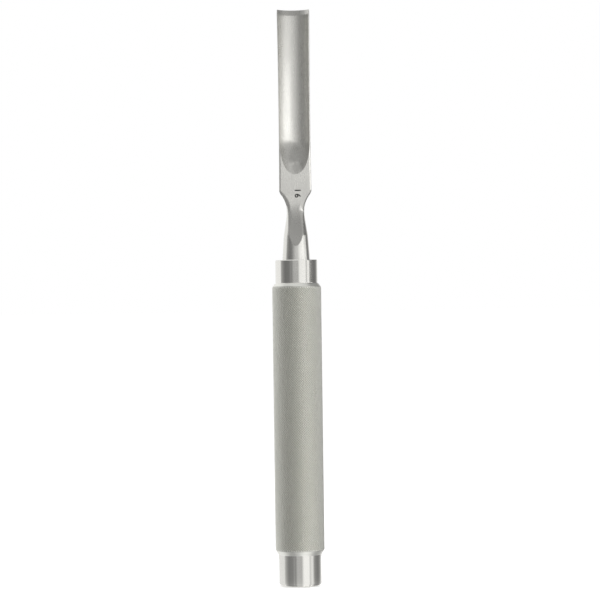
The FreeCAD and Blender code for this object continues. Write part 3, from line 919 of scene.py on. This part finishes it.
def make_cards():
    """Dark, grey and glowing cards that draw the bands and highlights on the polished steel.

    The heights of the rows on the wall are where the parts of the object look: the collar
    below 245, the shoulder to 325, the flute to 490 and the leaning faces of the shank above.
    """
    paint = card_paint()
    wall = WALL_DISTANCE
    # Cards that stand in front of others.
    inner = wall - 20
    innermost = wall - 50
    left = ((-96, 0.9), (-92, 0.5), (-84, 0.36), (-72, 0.24), (-64, 0.19), (-40, 0.21), (-30, 0.32))
    make_card("left_flag", paint, standing(left, 1.6) + [
        (wall, 520, left), (wall, 640, lit(left, 1.45)), (wall, 3300, lit(left, 1.45))])
    low = ((-30, 0.24), (-24, 0.26), (-16, 0.44), (8, 0.43), (11, 0.5), (15, 0.95), (18, 1.0))
    high = ((-30, 0.42), (-20, 0.7), (-10, 0.95), (0, 1.08), (18, 1.08))
    shank = ((-30, 0.26), (-18, 0.31), (-10, 0.4), (-4, 0.5), (5, 0.58), (13, 0.68), (18, 0.8))
    even = ((-30, 0.9), (0, 1.0), (18, 1.1))
    make_card("front_flag", paint, standing(low, 1.5) + [
        (wall, 205, low), (wall, 245, lit(high, 0.9)), (wall, 300, lit(high, 0.88)),
        (wall, 340, lit(high, 0.85)), (wall, 395, lit(high, 0.6)),
        (wall, 488, lit(high, 1.08)), (wall, 515, shank),
        (wall, 640, lit(even, 0.49)), (wall, 740, lit(even, 0.38)), (wall, 880, lit(even, 0.33)),
        (wall, 1370, lit(even, 0.44)), (wall, 1700, lit(even, 0.41)), (wall, 2350, lit(even, 0.58)),
        (wall, 3300, lit(even, 0.5)), (wall, 4500, lit(even, 0.8))])
    stand = ((51, 0.9), (54, 0.62), (59, 0.62), (62, 0.9))
    make_card("thin_stand", paint, standing(stand, 1.2) + [(inner, 480, stand)])
    right = ((72, 0.8), (76, 0.5), (84, 0.26), (104, 0.18), (124, 0.22), (138, 0.4), (150, 0.8))
    make_card("right_flag", paint, standing(right, 1.6) + [
        (wall, 520, right), (wall, 3300, right)])
    across = ((18, 1.0), (75, 1.0))
    make_card("right_canopy", paint, [
        (wall, 498, lit(across, 0.9)), (wall, 525, lit(across, 0.62)),
        (wall, 720, lit(across, 0.6)), (wall, 1700, lit(across, 0.41)),
        (wall, 2350, lit(across, 0.59)), (wall, 3300, lit(across, 0.5)), (wall, 4500, across)])
    # A glowing card brighter than white, no lamp and seen only in reflections: it paints the bright
    # highlight streak down the flute and on the shank.
    panel = ((18, 1.0), (30, 2.2), (50, 2.5), (92, 2.5), (106, 0.9))
    upper = ((18, 1.0), (30, 1.2), (62, 1.2), (73, 0.9))
    make_card("bright_panel", paint, [
        (innermost, 270, lit(panel, 0.45)), (innermost, 300, panel), (innermost, 375, panel),
        (innermost, 410, upper), (innermost, 495, upper)])
    wing = ((138, 0.3), (150, 0.22), (180, 0.22))
    make_card("right_wing", paint, [(inner, 600, wing), (inner, 3300, wing)])
    behind = ((-180, 0.25), (-98, 0.2))
    low_right = ((98, 0.2), (180, 0.2))
    start, rise = 190, 0.1
    make_card("low_left_flag", paint, [(start, rise, behind), (wall, rise, behind)])
    make_card("low_right_flag", paint, [(start, rise, low_right), (wall, rise, low_right)])
    sheet = ((-180, 0.93), (16, 0.93), (21, 1.1), (48, 1.1), (52, 0.93), (180, 0.93))
    make_card("pale_sheet", paint, [(d, -SHEET_GAP, sheet) for d in (10.6, 60, wall)])


def make_lamp(name, azimuth, elevation, distance, size, power):
    """A square soft box that points at the middle of the object.

    The angles are in degrees, distance and size in metres, and power in watts.
    """
    lamp = bpy.data.lights.new(name, "AREA")
    lamp.shape = "SQUARE"
    lamp.size = size
    lamp.energy = power
    box = bpy.data.objects.new(name, lamp)
    bpy.context.scene.collection.objects.link(box)
    a, e = math.radians(azimuth), math.radians(elevation)
    away = Vector((math.sin(a) * math.cos(e), -math.cos(a) * math.cos(e), math.sin(e)))
    target = Vector((0, 0, BLADE_HIGH.z / 2 * MM))
    box.location = target + away * distance
    box.rotation_mode = "QUATERNION"
    box.rotation_quaternion = (-away).to_track_quat("-Z", "Y")
    box.visible_glossy = False


def make_camera():
    """The photo's view: level, square to the flute and 1.3 m away, turned a little on its axis."""
    distance = 1.3
    frame_width = 292.1 * MM
    aside = 1.57 * MM
    height = 138.8 * MM
    roll = math.radians(0.77)
    sensor = 36.0
    data = bpy.data.cameras.new("camera")
    data.sensor_width = sensor
    data.lens = sensor * distance / frame_width
    camera = bpy.data.objects.new("camera", data)
    camera.location = (aside, -distance, height)
    camera.rotation_euler = (math.radians(90), roll, 0)
    bpy.context.scene.collection.objects.link(camera)
    bpy.context.scene.camera = camera


def main():
    polish = mirror_polished_steel()
    pieces = (
        (make_strike_cap(polish), "strike_cap", "polished_steel"),
        (make_front_ferrule(polish), "front_ferrule", "polished_steel"),
        (make_grip(knurled_steel(), lathe_turned_steel()), "grip_tube", "knurled_steel"),
        (make_blade(satin_ground_steel(), polished_shank_steel()), "gouge_blade", "blade_steel"),
        (make_size_mark(etched_mark()), None, "blade_steel"),
    )
    for piece, node, slot in pieces:
        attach(piece, "root")
        if node:
            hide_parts(node)
    make_camera()
    white_world()
    make_floor()
    make_cards()
    make_lamp("key_softbox", azimuth=58, elevation=35, distance=1.2, size=0.5, power=4)
    make_lamp("fill_softbox", azimuth=-60, elevation=45, distance=1.4, size=0.8, power=3)
    bpy.context.scene.view_settings.view_transform = "Standard"


main()
